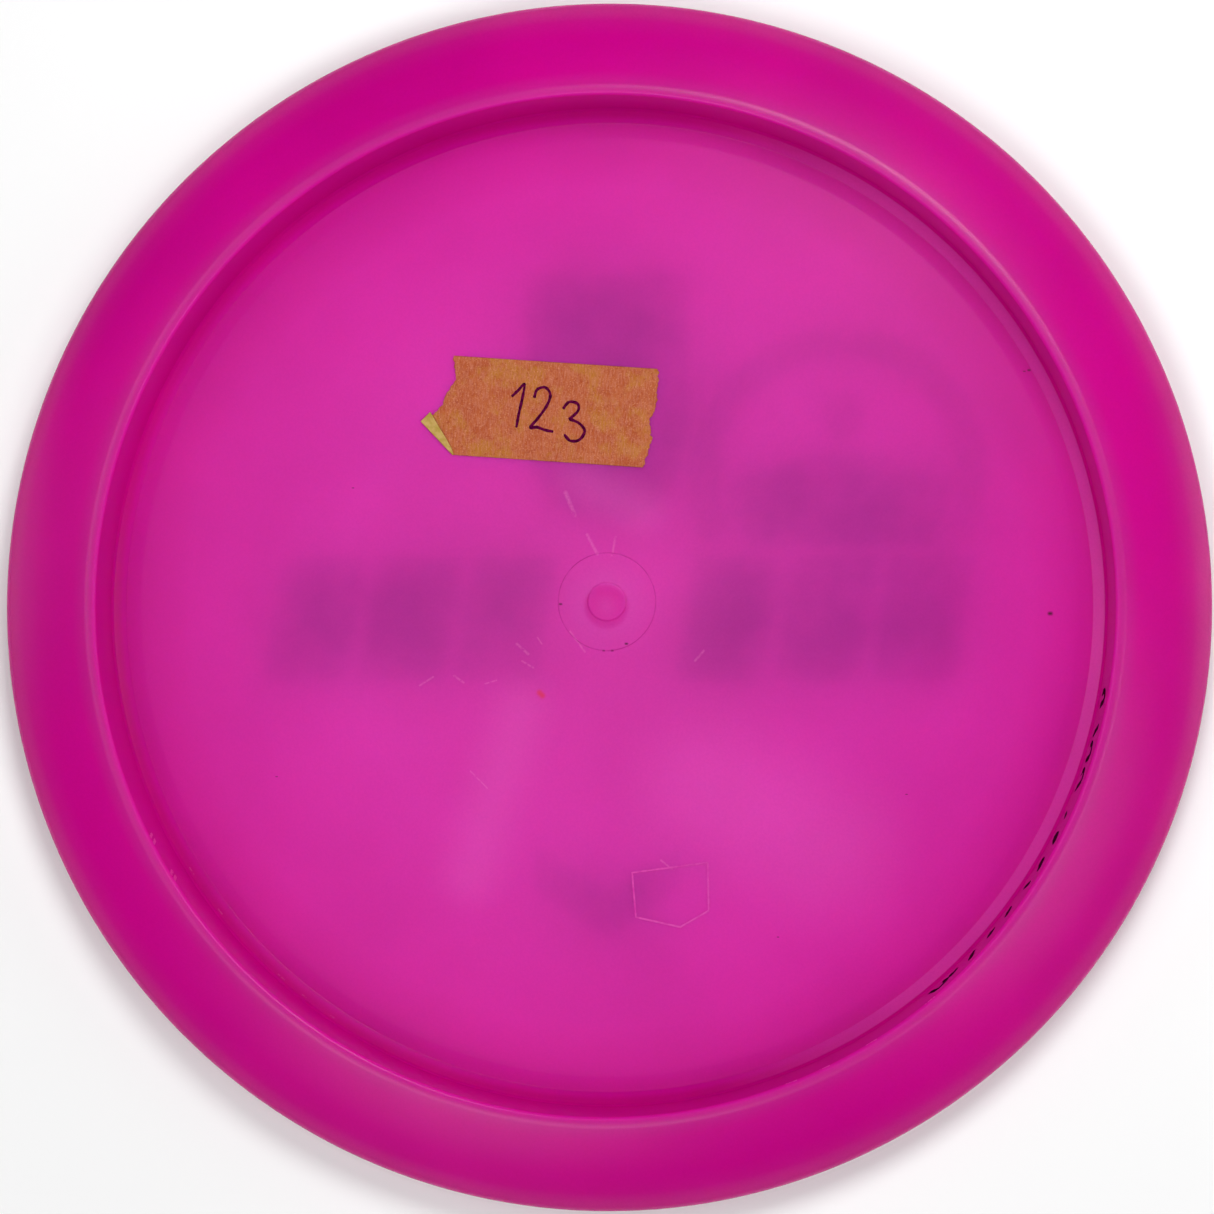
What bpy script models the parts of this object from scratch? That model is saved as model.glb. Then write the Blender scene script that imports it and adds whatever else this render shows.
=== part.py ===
"""A golf flying disc, lying on its flight plate with the open underside up.

The disc is one moulding: a thin flight plate with a heavy wing-shaped rim. A torn strip of
masking tape is stuck inside the plate, and a foil design is stamped into the shallow recess
on the outside of the plate. Metres, +Z up; the origin is the disc's axis on the surface that
the disc rests on.
"""
import math

import bpy

# Driving dimensions of the moulding.
DISC_DIAMETER = 0.211
DISC_HEIGHT = 0.0150
RIM_WIDTH = 0.0179            # from the nose to the foot of the inner wall
PLATE_THICKNESS = 0.0022
PLATE_RECESS = 0.0006         # depth of the shallow recess on the outside of the plate
NOSE_RADIUS = 0.0016          # rounding of the outer edge
NOSE_BELOW_LIP = 0.0065
LIP_WIDTH = 0.0022
LIP_INNER_ROUND = 0.0005
LIP_OUTER_ROUND = 0.0006
WALL_DRAFT = 0.0010           # how far the inner wall leans out, foot to lip
CHAMFER_WIDTH = 0.0021        # bevel between the plate and the inner wall
CHAMFER_HEIGHT = 0.0014
CHAMFER_STEP = 0.0003         # narrow ledge between the bevel and the wall
REST_RING_INSET = 0.0056      # from the foot of the inner wall in to the flat resting ring
REST_RING_WIDTH = 0.0055
RECESS_EDGE_WIDTH = 0.0015    # slope from the resting ring down to the recess
GATE_NUB_RADIUS = 0.0035
GATE_NUB_HEIGHT = 0.0004
GATE_NUB_SLOPE = 0.0003
GATE_RING_RADIUS = 0.0086     # witness line of the injection gate's insert
GATE_RING_WIDTH = 0.0004
GATE_RING_DEPTH = 0.0001

# Driving dimensions of the label and the stamp.
SEAT_GAP = 0.0003             # clearance between pieces that lie on each other
TAPE_WIDTH = 0.0175
TAPE_LENGTH = 0.0362
TAPE_THICKNESS = 0.00015
TAPE_CENTRE = (-0.0096, 0.0343)
TAPE_TURN = math.radians(-4.0)
FOIL_THICKNESS = 0.0001
FOIL_MARGIN = 0.0020          # bare plastic between the artwork and the recess's edge

# Smoothness of the turned and round shapes.
TURN_STEPS = 96
RING_POINTS = 48
NOSE_SEGMENTS = 7
SHOULDER_SEGMENTS = 8
LIP_SEGMENTS = 2
RECESS_EDGE_SEGMENTS = 2
MERGE_DISTANCE = 0.00001

# Derived sizes.
NOSE_CENTRE = (DISC_DIAMETER / 2 - NOSE_RADIUS, DISC_HEIGHT - NOSE_BELOW_LIP)
PLATE_TOP = PLATE_RECESS + PLATE_THICKNESS
WALL_FOOT_RADIUS = DISC_DIAMETER / 2 - RIM_WIDTH
WALL_FOOT_Z = PLATE_TOP + CHAMFER_HEIGHT
LIP_INNER_RADIUS = WALL_FOOT_RADIUS + WALL_DRAFT
LIP_OUTER_RADIUS = LIP_INNER_RADIUS + LIP_WIDTH
CHAMFER_TOP_RADIUS = WALL_FOOT_RADIUS - CHAMFER_STEP
CHAMFER_FOOT_RADIUS = CHAMFER_TOP_RADIUS - CHAMFER_WIDTH
REST_RING_OUTER_RADIUS = WALL_FOOT_RADIUS - REST_RING_INSET
REST_RING_INNER_RADIUS = REST_RING_OUTER_RADIUS - REST_RING_WIDTH
RECESS_RADIUS = REST_RING_INNER_RADIUS - RECESS_EDGE_WIDTH
STAMP_RADIUS = RECESS_RADIUS - FOIL_MARGIN
TAPE_Z = PLATE_TOP + SEAT_GAP + TAPE_THICKNESS / 2
FOIL_Z = PLATE_RECESS - SEAT_GAP - FOIL_THICKNESS / 2


def clear_scene():
    """Remove every object, so the script builds the same model each time."""
    for old in list(bpy.data.objects):
        bpy.data.objects.remove(old, do_unlink=True)


def new_collection(name):
    """A collection linked to the scene, to hold the disc's pieces."""
    collection = bpy.data.collections.new(name)
    bpy.context.scene.collection.children.link(collection)
    return collection


def principled(name, colour, roughness, metallic=0.0):
    """A plain Principled material with the piece's own colour and finish."""
    material = bpy.data.materials.new(name)
    material.use_nodes = True
    shader = material.node_tree.nodes["Principled BSDF"]
    shader.inputs["Base Color"].default_value = (*colour, 1.0)
    shader.inputs["Roughness"].default_value = roughness
    shader.inputs["Metallic"].default_value = metallic
    return material


def arc(centre, radius, start, end, segments):
    """Points along an arc in the (radius, height) plane; the angles are in radians."""
    points = []
    for step in range(segments + 1):
        angle = start + (end - start) * step / segments
        points.append((centre[0] + radius * math.cos(angle), centre[1] + radius * math.sin(angle)))
    return points


def gate_profile():
    """The gate nub on the axis and the witness line around it."""
    ring_half = GATE_RING_WIDTH / 2
    return [
        (0.0, PLATE_TOP + GATE_NUB_HEIGHT),
        (GATE_NUB_RADIUS - GATE_NUB_SLOPE, PLATE_TOP + GATE_NUB_HEIGHT),
        (GATE_NUB_RADIUS, PLATE_TOP),
        (GATE_RING_RADIUS - ring_half, PLATE_TOP),
        (GATE_RING_RADIUS, PLATE_TOP - GATE_RING_DEPTH),
        (GATE_RING_RADIUS + ring_half, PLATE_TOP),
    ]


def inner_wall_profile():
    """From the plate's edge over the bevel and up the inner wall to the lip."""
    lip_centre = (LIP_INNER_RADIUS + LIP_INNER_ROUND, DISC_HEIGHT - LIP_INNER_ROUND)
    return [
        (CHAMFER_FOOT_RADIUS, PLATE_TOP),
        (CHAMFER_TOP_RADIUS, WALL_FOOT_Z),
        (WALL_FOOT_RADIUS, WALL_FOOT_Z),
    ] + arc(lip_centre, LIP_INNER_ROUND, math.pi, math.pi / 2, LIP_SEGMENTS)


def wing_profile():
    """From the lip's flat out over the wing, round the nose and along the shoulder."""
    lip_centre = (LIP_OUTER_RADIUS - LIP_OUTER_ROUND, DISC_HEIGHT - LIP_OUTER_ROUND)
    across = NOSE_CENTRE[0] - lip_centre[0]
    down = NOSE_CENTRE[1] - lip_centre[1]
    # The wing is the common tangent of the lip's rounding and the nose.
    wing_normal = math.atan2(down, across) + math.acos(
        (LIP_OUTER_ROUND - NOSE_RADIUS) / math.hypot(across, down)
    )
    # The shoulder is one arc, tangent to the resting plane and to the nose.
    reach = NOSE_CENTRE[0] - REST_RING_OUTER_RADIUS
    shoulder_radius = (reach**2 + NOSE_CENTRE[1] ** 2 - NOSE_RADIUS**2) / (
        2 * (NOSE_CENTRE[1] - NOSE_RADIUS)
    )
    shoulder_centre = (REST_RING_OUTER_RADIUS, shoulder_radius)
    nose_end = math.atan2(NOSE_CENTRE[1] - shoulder_radius, reach)
    lip = arc(lip_centre, LIP_OUTER_ROUND, math.pi / 2, wing_normal, LIP_SEGMENTS)
    nose = arc(NOSE_CENTRE, NOSE_RADIUS, wing_normal, nose_end, NOSE_SEGMENTS)
    shoulder = arc(shoulder_centre, shoulder_radius, nose_end, -math.pi / 2, SHOULDER_SEGMENTS)
    return lip + nose + shoulder[1:]


def recess_profile():
    """From the flat resting ring over a soft edge into the plate's recess, to the axis."""
    points = [(REST_RING_INNER_RADIUS, 0.0)]
    for step in range(1, RECESS_EDGE_SEGMENTS + 1):
        share = step / RECESS_EDGE_SEGMENTS
        rise = (1 - math.cos(math.pi * share)) / 2
        points.append((REST_RING_INNER_RADIUS - RECESS_EDGE_WIDTH * share, PLATE_RECESS * rise))
    return points + [(0.0, PLATE_RECESS)]


def turned(name, profile, material, collection):
    """Turn a (radius, height) profile about the Z axis into one closed body."""
    mesh = bpy.data.meshes.new(name)
    profile_edges = [(index, index + 1) for index in range(len(profile) - 1)]
    mesh.from_pydata([(radius, 0.0, height) for radius, height in profile], profile_edges, [])
    piece = bpy.data.objects.new(name, mesh)
    collection.objects.link(piece)
    screw = piece.modifiers.new("turn", "SCREW")
    screw.steps = TURN_STEPS
    screw.render_steps = TURN_STEPS
    screw.use_merge_vertices = True
    screw.merge_threshold = MERGE_DISTANCE
    screw.use_smooth_shade = True
    mesh.materials.append(material)
    return piece


def flat_outline(name, outlines, thickness, material, collection):
    """A thin flat piece cut to closed outlines; an outline inside another is a hole."""
    curve = bpy.data.curves.new(name, "CURVE")
    curve.dimensions = "2D"
    curve.fill_mode = "BOTH"
    curve.extrude = thickness / 2
    for outline in outlines:
        spline = curve.splines.new("POLY")
        spline.points.add(len(outline) - 1)
        for point, (x, y) in zip(spline.points, outline):
            point.co = (x, y, 0.0, 1.0)
        spline.use_cyclic_u = True
    curve.materials.append(material)
    piece = bpy.data.objects.new(name, curve)
    collection.objects.link(piece)
    return piece


def disc_body(collection):
    """The single moulding: flight plate, inner wall, lip, wing, nose and shoulder."""
    plastic = principled("disc_plastic", (0.67, 0.026, 0.34), 0.32)
    profile = gate_profile() + inner_wall_profile() + wing_profile() + recess_profile()
    return turned("disc_body", profile, plastic, collection)


def tape_label(collection):
    """Masking tape with torn ends and a folded lower left corner, stuck inside the plate."""
    half_length = TAPE_LENGTH / 2
    half_width = TAPE_WIDTH / 2
    # Each tear is a list of (distance in from the square end, share of the half width).
    right_tear = [(0.0013, -1.0), (0.0006, -0.68), (0.0003, -0.39), (0.0010, -0.06)]
    right_tear += [(0.0005, 0.01), (0.0, 0.28), (0.0, 1.0)]
    left_tear = [(0.0, 1.0), (0.0007, 0.51), (-0.0008, 0.22), (-0.0019, -0.09)]
    left_tear += [(-0.0022, -0.21), (-0.0030, -0.21), (-0.0049, -0.36), (0.0012, -1.0)]
    outline = [(half_length - inset, half_width * share) for inset, share in right_tear]
    outline += [(inset - half_length, half_width * share) for inset, share in left_tear]
    paper = principled("tape_paper", (0.64, 0.19, 0.045), 0.85)
    piece = flat_outline("tape_label", [outline], TAPE_THICKNESS, paper, collection)
    piece.location = (*TAPE_CENTRE, TAPE_Z)
    piece.rotation_euler = (0.0, 0.0, TAPE_TURN)
    return piece


def foil(name, outlines, material, collection):
    """One piece of stamped foil; its outline is in shares of the stamp's radius."""
    scaled = [[(x * STAMP_RADIUS, y * STAMP_RADIUS) for x, y in outline] for outline in outlines]
    piece = flat_outline(name, scaled, FOIL_THICKNESS, material, collection)
    piece.location = (0.0, 0.0, FOIL_Z)
    return piece


def ring_outline(centre, radius):
    """A full circle as an outline."""
    return arc(centre, radius, 0.0, 2 * math.pi, RING_POINTS)[:-1]


def foil_emblem(material, collection):
    """An arch with a small round sun over a hill, made of separate patches of foil."""
    centre = (0.56, 0.31)
    outer = 0.355
    inner = 0.290
    arch_end = math.radians(-25.0)
    arch = arc(centre, outer, arch_end, math.pi - arch_end, RING_POINTS)
    arch += arc(centre, inner, math.pi - arch_end, arch_end, RING_POINTS)
    foil("foil_arch", [arch], material, collection)
    foil("foil_sun", [ring_outline((centre[0] + 0.01, centre[1] + 0.15), 0.05)], material, collection)
    hill_radius = inner - 0.025
    hill_base = 0.15
    crest_rise = 0.08
    base_angle = math.asin((hill_base - centre[1]) / hill_radius)
    side_angle = math.radians(-5.0)
    half_width = hill_radius * math.cos(side_angle)
    foot = centre[1] + hill_radius * math.sin(side_angle)
    hill = arc(centre, hill_radius, base_angle, side_angle, 6)
    for step in range(1, 12):
        share = 1 - step / 6
        rise = crest_rise * math.cos(share * math.pi / 2)
        hill.append((centre[0] + half_width * share, foot + rise))
    hill += arc(centre, hill_radius, math.pi - side_angle, math.pi - base_angle, 6)
    foil("foil_hill", [hill], material, collection)


def foil_band(material, collection):
    """Two groups of slanted bars across the middle, on either side of the axis."""
    bar_width = 0.19
    bar_gap = 0.045
    bar_slant = 0.05
    top = 0.115
    bottom = -0.175
    groups = {"left": -0.83, "right": 0.17}
    for side, start in groups.items():
        for number in range(3):
            left = start + number * (bar_width + bar_gap)
            right = left + bar_width
            outline = [(left, bottom), (right, bottom), (right + bar_slant, top), (left + bar_slant, top)]
            foil(f"foil_bar_{side}_{number + 1}", [outline], material, collection)


def foil_shield(material, collection):
    """A plain shield above the middle."""
    half_width = 0.19
    top = 0.80
    shoulder = 0.42
    tip = 0.20
    outline = [(half_width, top), (-half_width, top)]
    for step in range(9):
        share = step / 8
        angle = math.pi * (1 + share)
        outline.append((half_width * math.cos(angle), shoulder + (shoulder - tip) * math.sin(angle)))
    foil("foil_shield", [outline], material, collection)


def foil_chevron(material, collection):
    """A plain chevron near the lower edge."""
    half_width = 0.17
    top = -0.58
    arm = 0.10
    drop = 0.11
    outline = [(-half_width, top), (0.0, top - drop), (half_width, top)]
    outline += [(half_width, top - arm), (0.0, top - drop - arm), (-half_width, top - arm)]
    foil("foil_chevron", [outline], material, collection)


def smooth_round_pieces(collection):
    """Shade the turned body smooth, with its real edges kept sharp."""
    for piece in collection.objects:
        if piece.type == "MESH":
            piece.data.shade_smooth()
            piece.data.set_sharp_from_angle(angle=math.radians(30.0))


def main():
    clear_scene()
    collection = new_collection("flying_disc")
    disc_body(collection)
    tape_label(collection)
    stamped = principled("stamp_foil", (0.13, 0.10, 0.42), 0.25, metallic=1.0)
    foil_emblem(stamped, collection)
    foil_band(stamped, collection)
    foil_shield(stamped, collection)
    foil_chevron(stamped, collection)
    smooth_round_pieces(collection)


main()
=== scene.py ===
"""Looks of the golf flying disc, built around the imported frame.

The disc lies on its flight plate, so the open underside faces up. Lengths are in metres and
angles in radians, unless a comment or a docstring says otherwise. Colours are linear.
"""
import math
import random

import bpy
from mathutils import Matrix, Vector, noise
from mathutils.bvhtree import BVHTree


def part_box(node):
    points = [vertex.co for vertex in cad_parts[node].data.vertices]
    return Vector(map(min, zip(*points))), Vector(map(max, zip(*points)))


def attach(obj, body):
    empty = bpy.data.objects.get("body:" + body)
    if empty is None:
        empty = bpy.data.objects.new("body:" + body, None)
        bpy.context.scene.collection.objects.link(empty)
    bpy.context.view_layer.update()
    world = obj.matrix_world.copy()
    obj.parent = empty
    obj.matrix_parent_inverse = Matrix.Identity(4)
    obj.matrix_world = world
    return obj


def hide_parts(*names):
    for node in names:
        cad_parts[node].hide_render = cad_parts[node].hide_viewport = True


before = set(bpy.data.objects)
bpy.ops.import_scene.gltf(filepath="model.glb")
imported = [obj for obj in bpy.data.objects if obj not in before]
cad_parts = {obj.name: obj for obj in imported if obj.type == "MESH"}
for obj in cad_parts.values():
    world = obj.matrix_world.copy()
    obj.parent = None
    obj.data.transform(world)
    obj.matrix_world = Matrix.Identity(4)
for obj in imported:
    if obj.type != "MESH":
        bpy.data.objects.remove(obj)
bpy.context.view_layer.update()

MM = 0.001
DISC_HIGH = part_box("disc_body")[1]
RADIUS = DISC_HIGH.x
HEIGHT = DISC_HIGH.z

# The moulding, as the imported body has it.
PLATE_RECESS = 0.6 * MM
PLATE_TOP = 2.8 * MM
INSIDE_HEIGHT = PLATE_RECESS + 0.1 * MM  # points above it aren't on the outside of the plate
NOSE_RADIUS = 1.6 * MM
NOSE_CENTRE = (RADIUS - NOSE_RADIUS, HEIGHT - 6.5 * MM)
WALL_FOOT_RADIUS = RADIUS - 17.9 * MM
BEVEL_TOP_RADIUS = WALL_FOOT_RADIUS - 0.4 * MM
BEVEL_FOOT_RADIUS = WALL_FOOT_RADIUS - 2.4 * MM
BEVEL_TOP = PLATE_TOP + 1.3 * MM
COVE_HEIGHT = 0.6 * MM
SHALLOW_BEVEL_RADIUS = BEVEL_FOOT_RADIUS - 2.6 * MM
SHALLOW_BEVEL_RISE = 0.08 * MM
LIP_INNER_RADIUS = WALL_FOOT_RADIUS + 1.0 * MM
LIP_OUTER_RADIUS = LIP_INNER_RADIUS + 2.2 * MM
LIP_INNER_ROUND = 0.7 * MM
LIP_OUTER_ROUND = 3.6 * MM
LIP_FLAT_END = LIP_INNER_RADIUS + 1.2 * MM
WING_START_TURN = math.radians(4.0)     # how much flatter than a straight wing it leaves the lip
WING_END_TURN = math.radians(9.0)       # how much steeper it meets the nose
REST_OUTER_RADIUS = WALL_FOOT_RADIUS - 5.6 * MM
REST_INNER_RADIUS = REST_OUTER_RADIUS - 5.5 * MM
RECESS_EDGE_WIDTH = 1.5 * MM
GATE_NUB_RADIUS = 3.5 * MM
GATE_NUB_HEIGHT = 0.25 * MM
GATE_RING_RADIUS = 8.6 * MM
GATE_SHIFT = Vector((0.1 * MM, 0.8 * MM, 0.0))
GATE_SHIFT_FULL = 10.5 * MM              # the mark is moved whole up to this radius,
GATE_SHIFT_NONE = 17.0 * MM              # and nothing is moved from this one on
TURN_STEPS = 384
WALL_STEPS = 6
PLATE_RING_SPACING = 1.4 * MM
SHARP_ANGLE = math.radians(40.0)         # edges that turn more than this are shaded as edges

# The label.
TAPE_TURN = math.radians(-4.0)
TAPE_CENTRE = Vector((-9.6 * MM, 34.3 * MM, 0.0))
TAPE_HALF_WIDTH = 8.75 * MM
TAPE_THICKNESS = 0.13 * MM
TAPE_REST = PLATE_TOP + 0.02 * MM

# The stamp's shadow: how far it spreads in the plastic, and how many points it is averaged over.
SHADOW_BLUR = 12.0 * MM
SHADOW_SAMPLES = 80
SHADOW_CORE = 1.15                      # above 0.5 the samples crowd towards the middle
FOIL_REACH = 0.25 * MM

# The floor: how wide it is, and how far below the disc.
FLOOR_WIDTH = 2.2
FLOOR_GAP = 0.05 * MM

# The view: almost straight down on the open side, from slightly right and below.
VIEW_DISTANCE = 800 * MM
VIEW_TILT = math.radians(4.2)
VIEW_AZIMUTH = math.radians(-20.0)
VIEW_TARGET = Vector((0.50 * MM, -0.27 * MM, NOSE_CENTRE[1]))
FRAME_WIDTH = 2 * RADIUS * 1.0048
SENSOR_WIDTH = 36.0


# ---------------------------------------------------------------- node helpers

def new_material(name):
    """A material with a Principled shader; returns it, its tree and the shader."""
    material = bpy.data.materials.new(name)
    material.use_nodes = True
    tree = material.node_tree
    return material, tree, tree.nodes["Principled BSDF"]


def feed(tree, socket, value):
    """Link a socket into an input, or set the input to a constant."""
    if isinstance(value, bpy.types.NodeSocket):
        tree.links.new(value, socket)
    else:
        socket.default_value = value


def calc(tree, operation, first, second=0.0, clamp=False):
    """One Math node."""
    node = tree.nodes.new("ShaderNodeMath")
    node.operation = operation
    node.use_clamp = clamp
    feed(tree, node.inputs[0], first)
    feed(tree, node.inputs[1], second)
    return node.outputs[0]


def vector_calc(tree, operation, first, second=(0.0, 0.0, 0.0), output=0):
    """One Vector Math node."""
    node = tree.nodes.new("ShaderNodeVectorMath")
    node.operation = operation
    feed(tree, node.inputs[0], first)
    feed(tree, node.inputs[1], second)
    return node.outputs[output]


def soft_step(tree, value, low, high, start=0.0, end=1.0):
    """A smooth step from start at low to end at high."""
    node = tree.nodes.new("ShaderNodeMapRange")
    node.interpolation_type = "SMOOTHSTEP"
    feed(tree, node.inputs["Value"], value)
    low_end, high_end = (low, high) if low < high else (high, low)
    first, last = (start, end) if low < high else (end, start)
    node.inputs["From Min"].default_value = low_end
    node.inputs["From Max"].default_value = high_end
    node.inputs["To Min"].default_value = first
    node.inputs["To Max"].default_value = last
    return node.outputs["Result"]


def grain(tree, vector, size, detail=3.0, roughness=0.55, stretch=(1.0, 1.0, 1.0)):
    """Noise whose features are about size across."""
    scaled = vector_calc(tree, "MULTIPLY", vector, tuple(axis / size for axis in stretch))
    node = tree.nodes.new("ShaderNodeTexNoise")
    node.inputs["Scale"].default_value = 1.0
    node.inputs["Detail"].default_value = detail
    node.inputs["Roughness"].default_value = roughness
    tree.links.new(scaled, node.inputs["Vector"])
    return node.outputs["Fac"]


def blend_colour(tree, factor, first, second, mode="MIX"):
    """Mix two colours by a factor; a colour Mix node has them at its inputs 0, 6 and 7."""
    node = tree.nodes.new("ShaderNodeMix")
    node.data_type = "RGBA"
    node.blend_type = mode
    feed(tree, node.inputs[0], factor)
    feed(tree, node.inputs[6], first)
    feed(tree, node.inputs[7], second)
    return node.outputs[2]


def colour_ramp(tree, factor, stops):
    """A colour ramp from (position, colour) stops."""
    node = tree.nodes.new("ShaderNodeValToRGB")
    elements = node.color_ramp.elements
    while len(elements) < len(stops):
        elements.new(0.5)
    for element, (position, colour) in zip(elements, stops):
        element.position = position
        element.color = (*colour, 1.0)
    tree.links.new(factor, node.inputs["Fac"])
    return node.outputs["Color"]


def bump(tree, height, strength, distance, normal=None):
    """A bump from a height value; returns the normal."""
    node = tree.nodes.new("ShaderNodeBump")
    node.inputs["Strength"].default_value = strength
    node.inputs["Distance"].default_value = distance
    tree.links.new(height, node.inputs["Height"])
    if normal is not None:
        tree.links.new(normal, node.inputs["Normal"])
    return node.outputs["Normal"]


def object_position(tree):
    """The point's place in the piece's own frame, which is the disc's frame."""
    node = tree.nodes.new("ShaderNodeTexCoord")
    return node.outputs["Object"]


def streak_group():
    """A node group that gives 1 on a short line between two points, fading out beside it."""
    group = bpy.data.node_groups.new("streak", "ShaderNodeTree")
    for name in ("Position", "Start", "End"):
        group.interface.new_socket(name, in_out="INPUT", socket_type="NodeSocketVector")
    group.interface.new_socket("Width", in_out="INPUT", socket_type="NodeSocketFloat")
    group.interface.new_socket("Mask", in_out="OUTPUT", socket_type="NodeSocketFloat")
    entry = group.nodes.new("NodeGroupInput").outputs
    leave = group.nodes.new("NodeGroupOutput").inputs
    along = vector_calc(group, "SUBTRACT", entry["End"], entry["Start"])
    reach = vector_calc(group, "SUBTRACT", entry["Position"], entry["Start"])
    dot = vector_calc(group, "DOT_PRODUCT", reach, along, output=1)
    size = vector_calc(group, "DOT_PRODUCT", along, along, output=1)
    share = calc(group, "DIVIDE", dot, size, clamp=True)
    scale = group.nodes.new("ShaderNodeVectorMath")
    scale.operation = "SCALE"
    group.links.new(along, scale.inputs[0])
    group.links.new(share, scale.inputs["Scale"])
    gap = vector_calc(group, "SUBTRACT", reach, scale.outputs[0])
    distance = vector_calc(group, "LENGTH", gap, output=1)
    relative = calc(group, "DIVIDE", distance, entry["Width"])
    mask = soft_step(group, relative, 1.0, 0.0)
    group.links.new(mask, leave["Mask"])
    return group


def streak(tree, group, position, start, end, width):
    """One use of the streak group."""
    node = tree.nodes.new("ShaderNodeGroup")
    node.node_tree = group
    tree.links.new(position, node.inputs["Position"])
    node.inputs["Start"].default_value = start
    node.inputs["End"].default_value = end
    node.inputs["Width"].default_value = width
    return node.outputs["Mask"]


def strongest(tree, masks):
    """The largest of several masks."""
    result = masks[0]
    for mask in masks[1:]:
        result = calc(tree, "MAXIMUM", result, mask)
    return result


# ---------------------------------------------------------------- materials

def polar(radius_mm, degrees, height_mm):
    """A point from its distance to the axis and its angle, in millimetres and degrees."""
    angle = math.radians(degrees)
    return (radius_mm * MM * math.cos(angle), radius_mm * MM * math.sin(angle), height_mm * MM)


# The plastic's colour from the axis out, by share of the disc's radius: the gate nub, the
# plate, the bevel, a darker dip where it meets the wall that is painted shade in the crease,
# the wall, the lip, the wing and the nose, whose greyer last stops are a painted sheen of
# grazing reflection.
PLASTIC_COLOURS_AND_PAINTED_LIGHT = [
    (0.000, (0.690, 0.045, 0.385)),
    (0.024, (0.660, 0.022, 0.335)),
    (0.033, (0.640, 0.022, 0.335)),
    (0.040, (0.700, 0.055, 0.415)),
    (0.080, (0.715, 0.042, 0.400)),
    (0.450, (0.735, 0.031, 0.412)),
    (0.700, (0.675, 0.013, 0.355)),
    (0.785, (0.570, 0.000, 0.285)),
    (0.806, (0.585, 0.000, 0.275)),
    (0.812, (0.610, 0.000, 0.280)),
    (0.822, (0.565, 0.000, 0.208)),
    (0.832, (0.665, 0.000, 0.272)),
    (0.838, (0.640, 0.000, 0.295)),
    (0.844, (0.600, 0.006, 0.285)),
    (0.850, (0.540, 0.012, 0.262)),
    (0.862, (0.565, 0.009, 0.262)),
    (0.880, (0.600, 0.000, 0.262)),
    (0.940, (0.580, 0.000, 0.250)),
    (0.968, (0.560, 0.005, 0.242)),
    (0.984, (0.540, 0.024, 0.238)),
    (1.000, (0.500, 0.036, 0.222)),
]

# Scuffs on the plate, as (start, end, half width) in millimetres.
PLATE_SCUFFS = [
    ((-3.4, 12.6), (-1.6, 9.2), 0.40), ((-7.2, 20.0), (-5.6, 16.0), 0.55),
    ((1.6, 12.2), (1.0, 9.0), 0.30), ((-6.4, -4.4), (-3.8, -8.0), 0.25),
    ((-15.8, -6.6), (-13.8, -8.4), 0.35), ((-14.9, -9.6), (-12.9, -10.8), 0.25),
    ((-12.2, -5.4), (-11.4, -6.6), 0.20), ((-33.0, -13.9), (-30.6, -12.4), 0.25),
    ((-26.9, -12.2), (-25.2, -13.4), 0.30), ((-21.4, -13.6), (-19.4, -13.0), 0.20),
    ((15.6, -9.6), (17.2, -7.8), 0.30), ((-24.0, -29.0), (-21.0, -32.0), 0.20),
    ((9.6, -44.6), (11.8, -46.4), 0.25), ((-9.0, 38.0), (-4.0, 40.0), 0.20),
]

# Dark specks in the plate, as (place, half width) in millimetres, and how long they are.
PLATE_SPECKS = [
    ((77.6, -1.4), 0.55), ((74.0, 41.2), 0.3), ((73.2, 41.0), 0.2), ((25.4, 88.0), 0.22),
    ((-8.2, 0.4), 0.3), ((3.4, -6.6), 0.32), ((0.9, -7.8), 0.25), ((-0.6, -7.8), 0.22),
    ((-45.0, 21.0), 0.15), ((52.5, -33.0), 0.15), ((30.0, -58.0), 0.15), ((-58.5, -30.0), 0.15),
]
SPECK_LENGTH = 0.25

# Pale marks around the rim: the (radius, height) that each kind starts and ends at and its
# half width in millimetres, then where each one starts and how far it runs, in degrees. They
# are pale spots high on the wall, and painted glints on the bevel and where the wall meets the lip.
RIM_MARKS_AND_GLINTS = [
    ((88.5, 12.6), (88.7, 14.2), 0.45, [(206.8, 0.3), (207.6, 0.3), (211.6, 0.3), (212.3, 0.3)]),
    ((86.9, 3.8), (86.9, 3.8), 0.20, [(212.0, 0.9), (217.9, 0.7), (228.2, 1.0), (231.9, 0.6), (236.0, 0.5)]),
    ((88.8, 14.5), (88.8, 14.6), 0.25, [(291.0, 1.3), (295.0, 1.3), (301.0, 1.3), (309.0, 1.3)]),
]

# Pale hazy strokes in the plate, as (start, end, half width) in millimetres.
PLATE_HAZE = [
    ((-15, -18), (-24, -47), 9),
    ((-4, 22), (6, 17), 7),
    ((18, -32), (38, -42), 20),
]
RED_STAIN = ((-11.8, -15.2), (-11.3, -15.7), 0.9)


def on_plate(place):
    """A point on the plate from its place in millimetres."""
    return (place[0] * MM, place[1] * MM, PLATE_TOP)


def plate_streak(tree, group, position, stroke):
    """The mask of one (start, end, half width) stroke on the plate."""
    start, end, half_width = stroke
    return streak(tree, group, position, on_plate(start), on_plate(end), half_width * MM)


def pale_wear_and_glints(tree, group, position):
    """Mask of the pale scuffs on the plate, of pale spots on the wall and of painted glints around the rim.
    """
    masks = [plate_streak(tree, group, position, scuff) for scuff in PLATE_SCUFFS]
    for (start_radius, start_height), (end_radius, end_height), half_width, places in RIM_MARKS_AND_GLINTS:
        for angle, length in places:
            start = polar(start_radius, angle, start_height)
            end = polar(end_radius, angle + length, end_height)
            masks.append(streak(tree, group, position, start, end, half_width * MM))
    broken = soft_step(tree, grain(tree, position, 0.5 * MM, 2.0), 0.3, 0.6)
    return calc(tree, "MULTIPLY", strongest(tree, masks), broken)


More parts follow.
